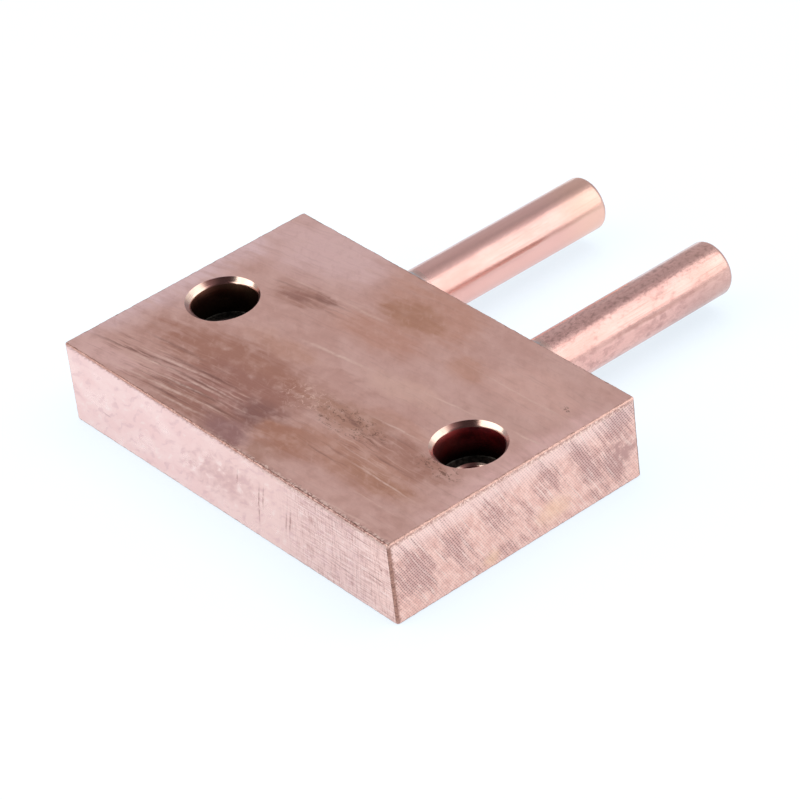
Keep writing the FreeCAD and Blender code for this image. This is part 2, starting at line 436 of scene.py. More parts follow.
def pit_top(made, flat):
    """Small dark pits in the top face, in cracked rows. Returns how deep they are."""
    cracked = made.grain(made.warp(flat, 0.7, (1.1, 0.7, 0)), (0.6, 1), 3, 0.6)
    crack = made.ease(made.away(cracked, 0.53), 0.034, 0.008)
    broken = made.ease(made.grain(flat, (0.9, 1.1), 3), 0.46, 0.56)
    specks = made.math("MAXIMUM", made.times(crack, broken), made.ease(cracked, 0.6, 0.66))
    pitted = made.strongest(flat, TOP_PITTED, 0.75)
    pits = made.times(specks, made.ease(pitted, 0, 0.8, 0.03, 0.8))
    made.tint(pits, rgb(138, 98, 84))
    return pits


def paint_front_edge_light(made, flat):
    """A ragged band along the top face's front edge: a painted shade line, with painted highlight dashes.
    """
    from_front = made.math("ADD", made.y, HALF_WIDTH)
    frayed = made.grain(flat, (1.2, 2.4), 4, 0.65)
    # Painted shade line, ragged, stronger to the right.
    knocked_edge_shade = made.ease(made.scaled(frayed, -2.4, from_front), -0.3, -0.9)
    knocked_edge_shade = made.times(knocked_edge_shade, made.ease(made.x, -8, 12, 0, 0.9))
    # Painted highlight dashes in it.
    dash = made.ease(made.grain(flat, (1.3, 1.3), 3, 0.6), 0.44, 0.56)
    made.tint(knocked_edge_shade, made.mix(dash, rgb(184, 137, 129), rgb(255, 222, 208)))


# Marks on the front and back faces, as places along the bar and up it
SIDE_SCORES = (
    ((8.4, 8), (0.26, 4.4), -12, 0.8),
    ((9.6, 8.8), (0.22, 3.6), -12, 0.8),
    ((8, 5), (0.24, 3.4), -9, 0.7),
    ((15.8, 7), (0.3, 4), -14, 0.85),
    ((14.8, 6.6), (0.24, 3.4), -12, 0.7),
    ((3.4, 9.6), (0.24, 2.4), -14, 0.65),
    ((36, 6.9), (4.4, 0.22), -1, 0.9),
    ((36.5, 6.1), (3.6, 0.2), 0, 0.8),
    ((28, 4.6), (6, 0.2), -4, 0.7),
    ((33, 12.7), (7, 0.22), -2, 0.7),
    ((25, 13.3), (8, 0.2), -2, 0.6),
    ((34, 9.7), (6, 0.2), -2, 0.6),
    ((37.6, 9.3), (0.4, 0.34), 0, 1.0),
    ((-31, 5), (3, 0.2), -4, 0.4),
)


def long_side():
    """The front and back faces: smooth cold-drawn bar, rubbed and scratched towards the right."""
    made = Finish("long_side_copper")
    wall = made.join(made.x, made.z)
    soft = made.grain(wall, (0.12, 0.22), 4)
    slanted = made.tilted(wall, -32)
    creased = made.grain(made.warp(slanted, 0.3, (1.2, 1.2, 0)), (0.35, 0.8), 4, 0.5)
    made.base(made.ease(soft, 0.35, 0.65), rgb(252, 216, 209), rgb(247, 206, 200))
    made.tint(made.ease(made.x, -16, 12, 0, 0.85), rgb(243, 204, 195))
    bruise = made.patch(made.warp(wall, 0.12, (4, 2, 0)), (0, 7.4), (18, 7.4), 10, 1)
    bruised = made.math("ADD", bruise, made.scaled(creased, 2.6, -1.5))
    made.tint(made.ease(bruised, -0.1, 1.4, 0, 0.9), rgb(212, 166, 160))
    made.tint(made.ease(creased, 0.52, 0.68, 0, 0.42), rgb(226, 184, 184))
    made.tint(made.ease(creased, 0.42, 0.3, 0, 0.4), rgb(255, 232, 224))

    made.tint(made.ease(made.x, 30, 39, 0, 0.9), rgb(255, 213, 201))
    worked = made.ease(made.x, 10, 22)
    rows = made.grain(wall, (0.22, 3.4), 4, 0.7)
    columns = made.grain(made.tilted(wall, 4), (3.2, 0.3), 4, 0.7)
    crossed = made.math("ADD", made.ease(rows, 0.46, 0.62), made.ease(columns, 0.46, 0.62))
    crossed = made.times(crossed, made.times(worked, 0.5))
    made.tint(crossed, rgb(196, 149, 141))
    sheen = made.times(made.ease(rows, 0.46, 0.34), made.times(worked, 0.6))
    made.tint(sheen, rgb(255, 230, 222))
    broken = made.ease(made.grain(wall, (1.1, 1.1), 3), 0.3, 0.55)
    scored = made.strongest(made.warp(wall, 0.3, (0.15, 0.15, 0)), SIDE_SCORES)
    scored = made.times(scored, broken)
    made.tint(scored, rgb(160, 112, 106))

    fray_side_edge(made, wall, slanted)
    height = made.scaled(creased, 0.9, made.scaled(scored, -0.8, crossed))
    return made.finish(made.ease(soft, 0.3, 0.7, 0.26, 0.34), height, 0.012)


def fray_side_edge(made, wall, slanted):
    """A rubbed band under the side's top edge, darker to the right, with painted highlight beads in it.
    """
    below_edge = made.math("SUBTRACT", THICKNESS, made.z)
    frayed = made.grain(slanted, (0.8, 2.6), 5, 0.65)
    rubbed = made.scaled(frayed, -2.2, below_edge)
    rubbed = made.scaled(made.ease(made.x, -5, 32), -0.3, rubbed)
    made.tint(made.ease(rubbed, -0.15, -1.1, 0, 0.9), rgb(184, 139, 131))
    # Painted highlight beads, stronger to the right.
    beaded = made.grain(wall, (1.4, 1.8), 4, 0.65)
    highlight_beads = made.ease(made.scaled(beaded, -3.4, below_edge), -0.7, -1.5)
    highlight_beads = made.times(highlight_beads, made.ease(made.x, -2, 20, 0, 0.4))
    made.tint(highlight_beads, rgb(255, 226, 206))


# Dark patches between the saw marks: place along the end and up it, half size, tilt and strength
END_PATCHES = (
    ((-20.5, 8), (6.5, 10), 28, 1.0),
    ((-21, 6.4), (6.5, 6.5), 0, 0.9),
    ((-12.6, 8), (4.6, 10), 28, 0.8),
    ((-4, 9), (5, 9), 28, 0.75),
    ((1.6, 6.4), (3, 8), 28, 0.5),
    ((6.4, 10), (5, 7.6), 28, 0.7),
    ((14.8, 7.6), (4.4, 11), 28, 1.0),
    ((21, 12), (7.5, 5.4), 10, 1.0),
    ((19, 6), (4, 8), 28, 0.8),
    ((-2, 1.8), (17, 2.4), 0, 0.5),
    ((17, 1.6), (6, 3.4), 0, 0.5),
)


def sawn_end():
    """The two ends: sawn, with slanted marks crossed by fine level ones, and dark patches between."""
    made = Finish("sawn_end_copper")
    wall = made.join(made.y, made.z)
    slanted = made.tilted(made.warp(wall, 0.08, (0.6, 0.6, 0)), -29)
    swathe = made.grain(slanted, (1.1, 0.06), 5, 0.65)
    line = made.grain(slanted, (2.4, 0.12), 4, 0.65)
    mottled = made.grain(wall, (0.7, 0.7), 5, 0.68)
    made.base(made.ease(mottled, 0.38, 0.62), rgb(255, 210, 196), rgb(242, 191, 177))
    made.tint(made.ease(made.z, 10.5, 13.2, 0, 0.8), rgb(255, 217, 207))
    zone = made.strongest(made.warp(wall, 0.3, (1.6, 1.6, 0)), END_PATCHES)
    ragged = made.scaled(swathe, 2.2, made.scaled(mottled, 0.9, -1.6))
    shaded = made.ease(made.math("ADD", zone, ragged), 0, 1)
    made.tint(made.times(shaded, 0.56), rgb(184, 142, 140))
    made.tint(made.ease(line, 0.54, 0.68, 0, 0.35), rgb(196, 146, 138))
    made.tint(made.ease(line, 0.46, 0.33, 0, 0.6), rgb(255, 227, 215))

    dots = saw_lattice(made, wall, slanted, shaded)
    dull = made.patch(made.warp(wall, 0.4, (1.5, 1.5, 0)), (21.6, 6.6), (4.4, 5), 24, 0.8)
    dull = made.times(dull, made.ease(mottled, 0.4, 0.58, 0.35, 0.95))
    made.tint(dull, rgb(194, 150, 143))
    gilt = made.math(
        "MAXIMUM",
        made.patch(made.warp(wall, 0.5, (1, 1, 0)), (-6, 1.6), (2.6, 2.2), 0, 1),
        made.patch(made.warp(wall, 0.5, (2, 1, 0)), (7, 3.5), (5.5, 3.4), 0, 1),
    )
    made.tint(made.times(gilt, 0.5), rgb(250, 204, 168))
    knock_end_edges(made, wall)
    height = made.scaled(dots, -0.5, made.scaled(mottled, 0.5, line))
    return made.finish(made.ease(swathe, 0.35, 0.65, 0.3, 0.4), height, 0.012)


def saw_lattice(made, wall, slanted, shaded):
    """Dark dots where the slanted saw marks cross level ones. Returns the dots."""
    across = made.split(slanted)[0]
    climb = made.scaled(made.y, -0.28, made.z)
    waver = made.grain(wall, (0.5, 0.5), 2)
    steep = made.math("SINE", made.scaled(across, 15, made.times(waver, 2.5)))
    level = made.math("SINE", made.scaled(climb, 13, made.times(waver, 2)))
    dots = made.times(made.ease(steep, -0.6, 0.6), made.ease(level, -0.6, 0.6))
    weave = made.times(dots, made.ease(shaded, 0, 0.8, 0.28, 0.75))
    made.tint(weave, rgb(130, 92, 90))
    return dots


def knock_end_edges(made, wall):
    """The end's flecked top line and its bruised front corner."""
    speckled = made.grain(wall, (1.8, 1.8), 4, 0.65)
    below_edge = made.math("SUBTRACT", THICKNESS, made.z)
    top_line = made.ease(made.scaled(speckled, -2.6, below_edge), -0.2, -0.7, 0, 0.75)
    flecks = made.mix(made.ease(speckled, 0.48, 0.58), rgb(178, 128, 116), rgb(255, 218, 202))
    made.tint(top_line, flecks)
    from_corner = made.math("ADD", made.y, HALF_WIDTH)
    bruised = made.ease(made.scaled(speckled, -2.2, from_corner), -0.2, -0.7, 0, 0.7)
    made.tint(bruised, rgb(162, 116, 104))


def underside():
    """The contact face: flat milled, with the cutter's wide arcs and rubbed by use."""
    made = Finish("underside_copper")
    flat = made.flat(made.place)
    from_cutter = made.vector("LENGTH", made.vector("SUBTRACT", flat, CUTTER_CENTRE))
    feed = made.math("SINE", made.times(from_cutter, 5.2))
    worn = made.grain(made.place, (0.07, 0.12), 5)
    scuff = made.grain(made.tilted(flat, 24), (0.12, 2.4), 4, 0.6)
    made.base(made.ease(worn, 0.3, 0.7), rgb(246, 204, 194), rgb(226, 176, 162))
    made.tint(made.ease(feed, -0.4, 1, 0, 0.22), rgb(190, 138, 126))
    made.tint(made.ease(scuff, 0.56, 0.7, 0, 0.4), rgb(176, 126, 114))
    height = made.scaled(feed, 0.5, scuff)
    return made.finish(made.ease(worn, 0.3, 0.7, 0.28, 0.38), height, 0.008)


def broken_edge():
    """The filed edges: dark in the hollows of the file marks and bright on their crests, with painted
    contact shade along the bottom and a painted highlight on the right end's top edge.
    """
    made = Finish("broken_edge_copper")
    ragged = made.grain(made.place, (1.6, 1.6, 3), 5, 0.7)
    fine = made.grain(made.place, (5, 5, 5), 3, 0.6)
    made.base(made.ease(ragged, 0.38, 0.58), rgb(250, 208, 194), rgb(204, 152, 138))
    made.tint(made.ease(fine, 0.5, 0.62, 0, 0.75), rgb(134, 92, 80))
    below_edge = made.math("SUBTRACT", THICKNESS, made.z)
    upright = made.times(made.ease(below_edge, 0.2, 0.8), made.ease(made.z, 0.2, 0.8, 0, 0.85))
    bruised = made.mix(made.ease(ragged, 0.4, 0.58), rgb(112, 72, 62), rgb(184, 138, 124))
    made.tint(upright, bruised)
    from_front = made.math("ADD", made.y, HALF_WIDTH)
    front = made.times(made.ease(from_front, 0.5, 0.2), made.ease(made.x, -15, 30, 0, 0.7))
    flecked = made.mix(made.ease(ragged, 0.44, 0.56), rgb(218, 176, 166), rgb(138, 98, 92))
    made.tint(made.times(front, made.ease(below_edge, 1, 0.4)), flecked)
    from_end = made.math("SUBTRACT", HALF_LENGTH, made.x)
    # Painted contact shade along the lower edges, weaker near the right end.
    contact_shade = made.ease(made.z, 0.6, 0.1, 0, made.ease(from_end, 0.8, 0.2, 0.6, 0.25))
    made.tint(contact_shade, rgb(160, 120, 122))
    # A painted highlight along the right end's top edge.
    end_highlight = made.times(made.ease(from_end, 0.6, 0.3), made.ease(below_edge, 0.7, 0.3, 0, 0.75))
    made.tint(made.times(end_highlight, made.ease(fine, 0.6, 0.5, 0.5, 1)), rgb(252, 206, 190))
    made.tint(made.ease(made.x, 5, -25, 0, 0.5), rgb(206, 160, 148))
    return made.finish(0.4, made.math("ADD", ragged, fine), 0.02)


def towards(made, side):
    """1 on that side of the nearer screw hole, and down to -1 on the opposite one."""
    across = made.scaled(made.math("SIGN", made.x), -SCREW_X, made.x)
    outward = made.vector("NORMALIZE", made.join(across, made.y))
    return made.vector("DOT_PRODUCT", outward, aimed(*side))


def hole_rim():
    """The counterbores' chamfers, with the countersink's faint rings: cream as painted highlight, with
    painted shade over one half of each rim and a dark painted notch.
    """
    made = Finish("hole_rim_copper")
    rings = made.math("SINE", made.times(made.z, 34))
    worn = made.grain(made.place, (0.7, 0.7, 0.7), 3)
    # The cream base is partly painted highlight, paler than the copper.
    made.base(made.ease(worn, 0.35, 0.7), rgb(255, 226, 206), rgb(250, 208, 190))
    made.tint(made.ease(rings, 0.2, 1, 0, 0.12), rgb(176, 122, 104))
    facing = towards(made, RIM_SHADE)
    # Painted shade over the half of each rim that turns from RIM_SHADE, and a dark painted notch at it.
    rim_shade_colour = made.mix(made.ease(made.x, -10, 10), rgb(180, 144, 142), rgb(206, 176, 170))
    made.tint(made.ease(facing, 0.5, 0, 0, 0.95), rim_shade_colour)
    made.tint(made.ease(facing, 0.86, 0.97, 0, 0.9), rgb(140, 84, 82))
    sunk_left = made.times(made.ease(made.x, 0, -20), made.ease(made.z, 10, 9, 0, 0.85))
    made.tint(sunk_left, rgb(60, 56, 56))
    dull = made.ease(facing, 0.3, -0.4, 0.2, 0.4)
    return made.finish(dull, made.scaled(rings, 0.2, worn), 0.004)


def bore():
    """Inside the screw holes: copper darkened and reddened by painted shade and painted reflection of the
    walls, redder at the right hole.
    """
    made = Finish("bore_copper")
    rings = made.grain(made.place, (0.1, 0.1, 4), 4, 0.6)
    smoky = made.grain(made.place, (0.35, 0.35, 0.35), 4)
    # The dark red base is partly painted shade and painted reflection of the walls in each other.
    made.base(made.ease(smoky, 0.35, 0.7), rgb(168, 64, 68), rgb(86, 36, 40))
    made.tint(made.ease(rings, 0.5, 0.7, 0, 0.4), rgb(86, 50, 44))
    # Painted reddish reflection on one side of each bore.
    ruddy = made.ease(towards(made, RUDDY_SIDE), 0.6, 1, 0, 0.6)
    made.tint(ruddy, rgb(226, 118, 112))
    # Painted shade, darker deeper down.
    made.tint(made.ease(made.z, 12, 9, 0, 0.85), rgb(40, 28, 28))
    made.tint(made.ease(made.x, 10, -10, 0, 0.85), rgb(84, 66, 50))
    # The seat and the hole below it: mottled grey, with painted shade down to near black away from its
    # lit side.
    seat_mottle = made.grain(made.place, (1.4, 1.4, 1.4), 4, 0.6)
    mottled_seat_shade = made.mix(made.ease(seat_mottle, 0.4, 0.6), rgb(92, 88, 80), rgb(44, 42, 38))
    lit_side = made.ease(towards(made, LIT_SIDE), -0.6, 0.8, 0.35, 1)
    mottled_seat_shade = made.mix(lit_side, rgb(24, 22, 22), mottled_seat_shade)
    made.tint(made.ease(made.z, SEAT_HEIGHT + 0.35, SEAT_HEIGHT + 0.2), mottled_seat_shade)
    return made.finish(made.ease(smoky, 0.3, 0.7, 0.3, 0.42), rings, 0.02)


def waterway():
    """The sockets, passages and gallery: drilled, and stained by water."""
    made = Finish("waterway_copper")
    rings = made.grain(made.place, (1.4, 1.4, 1.4), 4, 0.6)
    damp = made.grain(made.place, (0.2, 0.2, 0.2), 4)
    made.base(made.ease(damp, 0.35, 0.65), rgb(190, 120, 98), rgb(122, 84, 72))
    made.tint(made.ease(rings, 0.55, 0.7, 0, 0.4), rgb(96, 84, 74))
    return made.finish(0.45, rings, 0.02)


# ------------------------ finishes of the tubes


def tube_finish(name, x, scuffs, gold, tarnish):
    """Drawn tube: bright, with lengthwise scratches, dark spots and a handled cut end."""
    made = Finish(name, metal=0.9)
    local = made.vector("SUBTRACT", made.place, (x, 0, TUBE_HEIGHT))
    lines = made.grain(local, (2.6, 0.05, 2.6), 4, 0.6)
    fine = made.grain(local, (7, 0.12, 7), 3, 0.6)
    cloudy = made.grain(local, (0.35, 0.12, 0.35), 4)
    spotty = made.grain(local, (0.9, 0.6, 0.9), 4, 0.65)
    dents = made.grain(local, (0.3, 0.16, 0.3), 3)
    made.base(made.ease(cloudy, 0.3, 0.7), rgb(250, 207, 195), rgb(240, 192, 180))
    made.tint(made.ease(lines, 0.52, 0.7, 0, scuffs), rgb(206, 152, 140))
    made.tint(made.ease(fine, 0.54, 0.7, 0, 0.5 * scuffs), rgb(196, 146, 134))
    handled = made.ease(made.away(made.y, 44), 2, 16, 0.25, 1)
    spots = made.times(made.ease(spotty, 0.54, 0.84, 0, 0.8 * scuffs), handled)
    made.tint(spots, rgb(150, 104, 94))
    tarnish_tube(made, local, spotty, tarnish)
    made.tint(made.ease(made.y, 53, 63, 0, gold), rgb(252, 206, 176))
    rolled = made.ease(made.y, TUBE_TIP - ROLL_LENGTH, TUBE_TIP - LIP_BEVEL, 0, 0.7)
    made.tint(rolled, rgb(176, 134, 130))
    height = made.scaled(lines, 0.12, made.times(fine, 0.05))
    height = made.math("ADD", dents, made.scaled(spots, -0.1, height))
    return made.finish(made.ease(cloudy, 0.3, 0.7, 0.17, 0.27), height, 0.05)


def tarnish_tube(made, local, spotty, tarnish):
    """The tube's ruddy flank, dull blotches, dark line, darker top, flecked crown and pale far side; the
    flank, the line, the top and the far side are painted light.
    """
    side, y, z = made.split(local)
    # Painted: a darker, ruddier tint on the lower right flank, where the tube mirrors the lamp and the
    # table.
    flank = made.times(made.ease(z, 3.2, 0.2), made.ease(side, 1, 3, 0, 0.8))
    made.tint(flank, rgb(238, 184, 174))
    dulled = made.times(made.ease(z, 3, -1), made.ease(y, 46, 60, 0.1 * tarnish, 0.75 * tarnish))
    made.tint(dulled, rgb(180, 146, 142))
    blotched = made.times(made.ease(spotty, 0.46, 0.62, 0, 0.55 * tarnish), made.ease(z, 3, 1))
    made.tint(blotched, rgb(190, 142, 136))
    smoky = made.grain(local, (0.5, 0.3, 0.5), 5, 0.65)
    made.tint(made.ease(smoky, 0.52, 0.7, 0, 0.6 * tarnish), rgb(168, 124, 120))
    # Painted reflection: a dark line along the right flank, where the tube mirrors the horizon.
    wavy = made.warp(made.join(y, z), 0.16, (0, 0.35, 0))
    horizon_line = made.patch(wavy, (58 - 12 * tarnish, 1.45), (14 + 10 * tarnish, 0.55), 0, 1)
    horizon_line = made.times(horizon_line, made.ease(side, 1, 3, 0, 0.5))
    made.tint(horizon_line, rgb(172, 120, 106))
    # Painted shade: darker along the top, where the tube mirrors the dim room.
    made.tint(made.ease(z, 3.4, 4.7, 0, 0.6), rgb(238, 184, 178))
    flecked = made.grain(local, (1.9, 1.2, 1.9), 3, 0.55)
    flecked = made.times(made.ease(flecked, 0.46, 0.68, 0, 0.6 * tarnish), made.ease(z, 3.3, 4.3))
    made.tint(flecked, rgb(160, 122, 116))
    # Painted: greyer on the upper left side, which on the outlet mirrors the inlet tube, to damp that
    # reflection.
    far_side = made.times(made.ease(side, -1.2, -2.6, 0, 0.8), made.ease(z, 2, 3.2))
    made.tint(far_side, rgb(204, 178, 176))


def braze_finish(name):
    """Silver braze: pale grey, with copper tints and flux stains, and thin over the tube's copper."""
    made = Finish(name)
    ripple = made.grain(made.place, (0.9, 0.9, 0.9), 4, 0.6)
    cloud = made.grain(made.place, (0.35, 0.35, 0.35), 3)
    made.base(made.ease(cloud, 0.4, 0.7), rgb(206, 204, 208), rgb(216, 188, 172))
    made.tint(made.ease(ripple, 0.56, 0.72, 0, 0.5), rgb(134, 122, 118))
    thin = made.math("ADD", ripple, made.y)
    tip = HALF_WIDTH + BRAZE_RISE
    made.tint(made.ease(thin, tip - 0.8, tip, 0, 0.9), rgb(240, 194, 182))
    return made.finish(made.ease(ripple, 0.3, 0.7, 0.24, 0.4), ripple, 0.05)


def plug_finish():
    """The plug's face: turned, with rings about its own axis."""
    made = Finish("plug_copper")
    local = made.vector("SUBTRACT", made.place, (-HALF_LENGTH, PLUG_Y, TUBE_HEIGHT))
    radius = made.vector("LENGTH", made.stretch(local, 0, 1, 1))
    rings = made.math("SINE", made.times(radius, 16))
    worn = made.grain(made.place, (0.5, 0.5, 0.5), 4)
    made.base(made.ease(worn, 0.3, 0.7), rgb(236, 190, 178), rgb(206, 152, 138))
    made.tint(made.ease(rings, 0, 1, 0, 0.3), rgb(176, 122, 108))
    return made.finish(0.32, made.scaled(rings, 0.4, worn), 0.01)


# ------------------------ pieces


def rough(place, scale):
    """Smooth noise about 0 at a place in millimetres."""
    return noise.noise(Vector(place) * scale)


def add_piece(name, bm, materials, node, flat=()):
    """Writes a mesh as a piece that stands for a CAD node, smoothed except for its flat materials."""
    bmesh.ops.recalc_face_normals(bm, faces=bm.faces)
    bmesh.ops.transform(bm, matrix=Matrix.Scale(MM, 4), verts=bm.verts)
    mesh = bpy.data.meshes.new(name)
    bm.to_mesh(mesh)
    bm.free()
    for material in materials:
        mesh.materials.append(material)
    mesh.set_sharp_from_angle(angle=SHARP_ANGLE)
    for face in mesh.polygons:
        face.use_smooth = face.material_index not in flat
    piece = bpy.data.objects.new(name, mesh)
    bpy.context.scene.collection.objects.link(piece)
    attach(piece, "root")
    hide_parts(node)


def lay_rings(bm, outline, place, axis, uneven=None, material=0, closed=True):
    """Sweeps points, given as a radius and a distance along an axis, round that axis."""
    turn = UP.rotation_difference(axis).to_matrix()
    rings = []
    for radius, along in outline:
        if radius == 0:
            rings.append([bm.verts.new(place + turn @ Vector((0, 0, along)))])
            continue
        ring = []
        for step in range(SEGMENTS):
            angle = 2 * math.pi * step / SEGMENTS
            out, up = uneven(radius, along, angle) if uneven else (0.0, 0.0)
            reach = radius + out
            local = Vector((reach * math.cos(angle), reach * math.sin(angle), along + up))
            ring.append(bm.verts.new(place + turn @ local))
        rings.append(ring)
    pairs = list(zip(rings, rings[1:]))
    if closed:
        pairs.append((rings[-1], rings[0]))
    for first, second in pairs:
        for step in range(SEGMENTS):
            following = (step + 1) % SEGMENTS
            loop = [first[step % len(first)], first[following % len(first)]]
            loop += [second[following % len(second)], second[step % len(second)]]
            face = bm.faces.new(list(dict.fromkeys(loop)))
            face.material_index = material


def bar_outline():
    """Points round the bar: place, outward direction, and how far round a corner, 0 to 1 or None."""
    inner_x, inner_y = HALF_LENGTH - CORNER_ROUND, HALF_WIDTH - CORNER_ROUND
    centres = [(inner_x, -inner_y), (inner_x, inner_y), (-inner_x, inner_y), (-inner_x, -inner_y)]
    points = []
    for index, centre in enumerate(centres):
        start = math.radians(-90 + 90 * index)
        for step in range(CORNER_STEPS + 1):
            angle = start + math.pi / 2 * step / CORNER_STEPS
            outward = Vector((math.cos(angle), math.sin(angle), 0))
            points.append((Vector((*centre, 0)) + CORNER_ROUND * outward, outward, step / CORNER_STEPS))
        begin, outward, _ = points[-1]
        end = Vector((*centres[(index + 1) % 4], 0)) + CORNER_ROUND * outward
        count = round((end - begin).length / EDGE_STEP)
        for step in range(1, count):
            points.append((begin.lerp(end, step / count), outward, None))
    return points


def edge_break(place):
    """How wide a filed edge is at a place, in millimetres."""
    width = EDGE_BREAK * (1 + 0.5 * rough(place, 0.9) + 0.5 * rough(place, 2.9))
    return min(max(width, EDGE_LEAST), EDGE_MOST)


def bar_rows(points, height, inward):
    """The rows over one broken edge, from the flat face at that height to the wall."""
    rows = []
    for row in range(EDGE_ROWS + 1):
        turn = math.pi / 2 * row / EDGE_ROWS
        ring = []
        for place, outward, _ in points:
            wide = edge_break((*place.xy, height))
            deep = edge_break((*place.xy, height + UNLIKE))
            inset = wide * (1 - math.sin(turn))
            drop = deep * (1 - math.cos(turn))
            ring.append(place - outward * inset + UP * (height + inward * drop))
        rows.append(ring)
    return rows


def corner_rows(points):
    """The rows up the four upright corners, with the file's dents, and None between corners."""
    rows = []
    rise = THICKNESS - 2 * CORNER_MARGIN
    count = round(rise / CORNER_ROW)
    for row in range(count + 1):
        height = CORNER_MARGIN + rise * row / count
        ring = []
        for place, outward, turned in points:
            if turned is None:
                ring.append(None)
                continue
            at = (*place.xy, height)
            dent = FINE_DENT * abs(rough(at, 2.3)) + BROAD_DENT * abs(rough(at, 0.9))
            ring.append(place - outward * dent * math.sin(math.pi * turned) + UP * height)
        rows.append(ring)
    return rows


def fill_plane(bm, axis, level, material):
    """Closes the flat face between the open edges that lie in one plane."""

    def in_plane(edge):
        return all(abs(vertex.co[axis] - level) < IN_PLANE for vertex in edge.verts)

    edges = [edge for edge in bm.edges if edge.is_boundary and in_plane(edge)]
    filled = bmesh.ops.triangle_fill(bm, use_beauty=True, use_dissolve=False, edges=edges)
    for face in filled["geom"]:
        if isinstance(face, bmesh.types.BMFace):
            face.material_index = material


def cavity_mesh():
    """The CAD bar's sockets, passages and gallery, without its outside and screw holes."""
    bm = bmesh.new()
    bm.from_mesh(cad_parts["block_body"].data)
    bmesh.ops.transform(bm, matrix=Matrix.Scale(1 / MM, 4), verts=bm.verts)
    bmesh.ops.remove_doubles(bm, verts=bm.verts, dist=WELD)
    size = Vector((HALF_LENGTH, HALF_WIDTH, THICKNESS))

    def depth(at):
        return min(size.x - abs(at.x), size.y - abs(at.y), at.z, size.z - at.z)

    def kept(face):
        inside = any(depth(vertex.co) > CAVITY_DEPTH for vertex in face.verts)
        centre = face.calc_center_median()
        near_screw = math.hypot(abs(centre.x) - SCREW_X, centre.y) < SCREW_CLEARANCE
        return inside and not near_screw

    outside = [face for face in bm.faces if not kept(face)]
    bmesh.ops.delete(bm, geom=outside, context="FACES")
    mesh = bpy.data.meshes.new("cavities")
    bm.to_mesh(mesh)
    bm.free()
    return mesh


def off_centre(narrowing):
    """A rim's unevenness: the countersink stood a little to one side, so it is narrower on the other."""

    def uneven(radius, along, angle):
        away = max(0.0, math.cos(angle - NARROW_AZIMUTH))
        return (COUNTERBORE_RADIUS - radius) * narrowing * away, 0.0

    return uneven


def lay_screw_hole(bm, side):
    """One counterbored screw hole, on the left (-1) or on the right (1)."""
    place = Vector((side * SCREW_X, 0, 0))
    rim = []
    for step in range(RIM_STEPS + 1):
        wide = RIM_WIDTHS[side] * (1 - step / RIM_STEPS)
        rim.append((COUNTERBORE_RADIUS + wide, THICKNESS - RIM_DEPTH * step / RIM_STEPS))
    lay_rings(bm, rim, place, UP, off_centre(RIM_NARROWING[side]), HOLE_RIM, closed=False)
    for outline, material in (
        (COUNTERBORE, BORE),
        (SEAT_CHAMFER, HOLE_RIM),
        (SCREW_HOLE, BORE),
        (LOWER_CHAMFER, HOLE_RIM),
    ):
        lay_rings(bm, outline, place, UP, material=material, closed=False)


def lay_edges(bm):
    """The filed edges and corners, as one skin round the openings for the flat faces."""
    points = bar_outline()
    rows = bar_rows(points, 0, 1) + corner_rows(points) + bar_rows(points, THICKNESS, -1)[::-1]
    grid = [[None if at is None else bm.verts.new(at) for at in row] for row in rows]
    for lower, upper in zip(grid, grid[1:]):
        for index, vertex in enumerate(lower):
            following = (index + 1) % len(lower)
            loop = [vertex, lower[following], upper[following], upper[index]]
            if None not in loop:
                bm.faces.new(loop).material_index = BROKEN_EDGE


def build_bar(materials):
    """The bar: filed edges and corners, flat faces, screw holes, and the CAD's own waterways."""
    bm = bmesh.new()
    cavities = cavity_mesh()
    bm.from_mesh(cavities)
    bpy.data.meshes.remove(cavities)
    for face in bm.faces:
        face.material_index = WATERWAY
    lay_edges(bm)
    lay_screw_hole(bm, -1)
    lay_screw_hole(bm, 1)
    bmesh.ops.remove_doubles(bm, verts=bm.verts, dist=WELD)
    for axis, level, material in (
        (2, THICKNESS, TOP_FACE),
        (2, 0, UNDERSIDE),
        (1, HALF_WIDTH, LONG_SIDE),
        (1, -HALF_WIDTH, LONG_SIDE),
        (0, HALF_LENGTH, SAWN_END),
        (0, -HALF_LENGTH, SAWN_END),
    ):
        fill_plane(bm, axis, level, material)
    flat = (TOP_FACE, LONG_SIDE, SAWN_END, UNDERSIDE)
    add_piece("copper_bar", bm, materials, "block_body", flat)


def build_tube(name, node, x, material):
    """A drawn tube with its spigot in the bar and an end rolled in by a tube cutter."""
    length = SOCKET_DEPTH + TUBE_REACH
    shoulder = SOCKET_DEPTH + BRAZE_RISE
    shares = [step / ROLL_STEPS for step in range(ROLL_STEPS + 1)]
    roll_start = length - ROLL_LENGTH
    barrel = [(TUBE_RADIUS, shoulder + (roll_start - shoulder) * share) for share in shares[:-1]]
    rolled = [(TUBE_RADIUS - ROLL_DEPTH * share**2, roll_start + ROLL_LENGTH * share) for share in shares]
    outline = [
        (BORE_RADIUS, 0),
        (SPIGOT_RADIUS, 0),
        (SPIGOT_RADIUS, shoulder),
        *barrel,
        *rolled,
        (LIP_RADIUS + LIP_BEVEL, length),
        (LIP_RADIUS, length - LIP_BEVEL),
        (LIP_RADIUS, length - LIP_LENGTH),
        (BORE_RADIUS, roll_start),
    ]

    def uneven(radius, along, angle):
        """The cutter's burr wavers, and only ever inward."""
        if along <= roll_start:
            return 0.0, 0.0
        at = (radius * math.cos(angle) + x, radius * math.sin(angle), along)
        return -BURR_INWARD * abs(rough(at, 0.8)), -BURR_SHORT * abs(rough(at, 0.5))

    bm = bmesh.new()
    place = Vector((x, HALF_WIDTH - SOCKET_DEPTH, TUBE_HEIGHT))
    lay_rings(bm, outline, place, BACKWARD, uneven)
    add_piece(name, bm, [material], node)


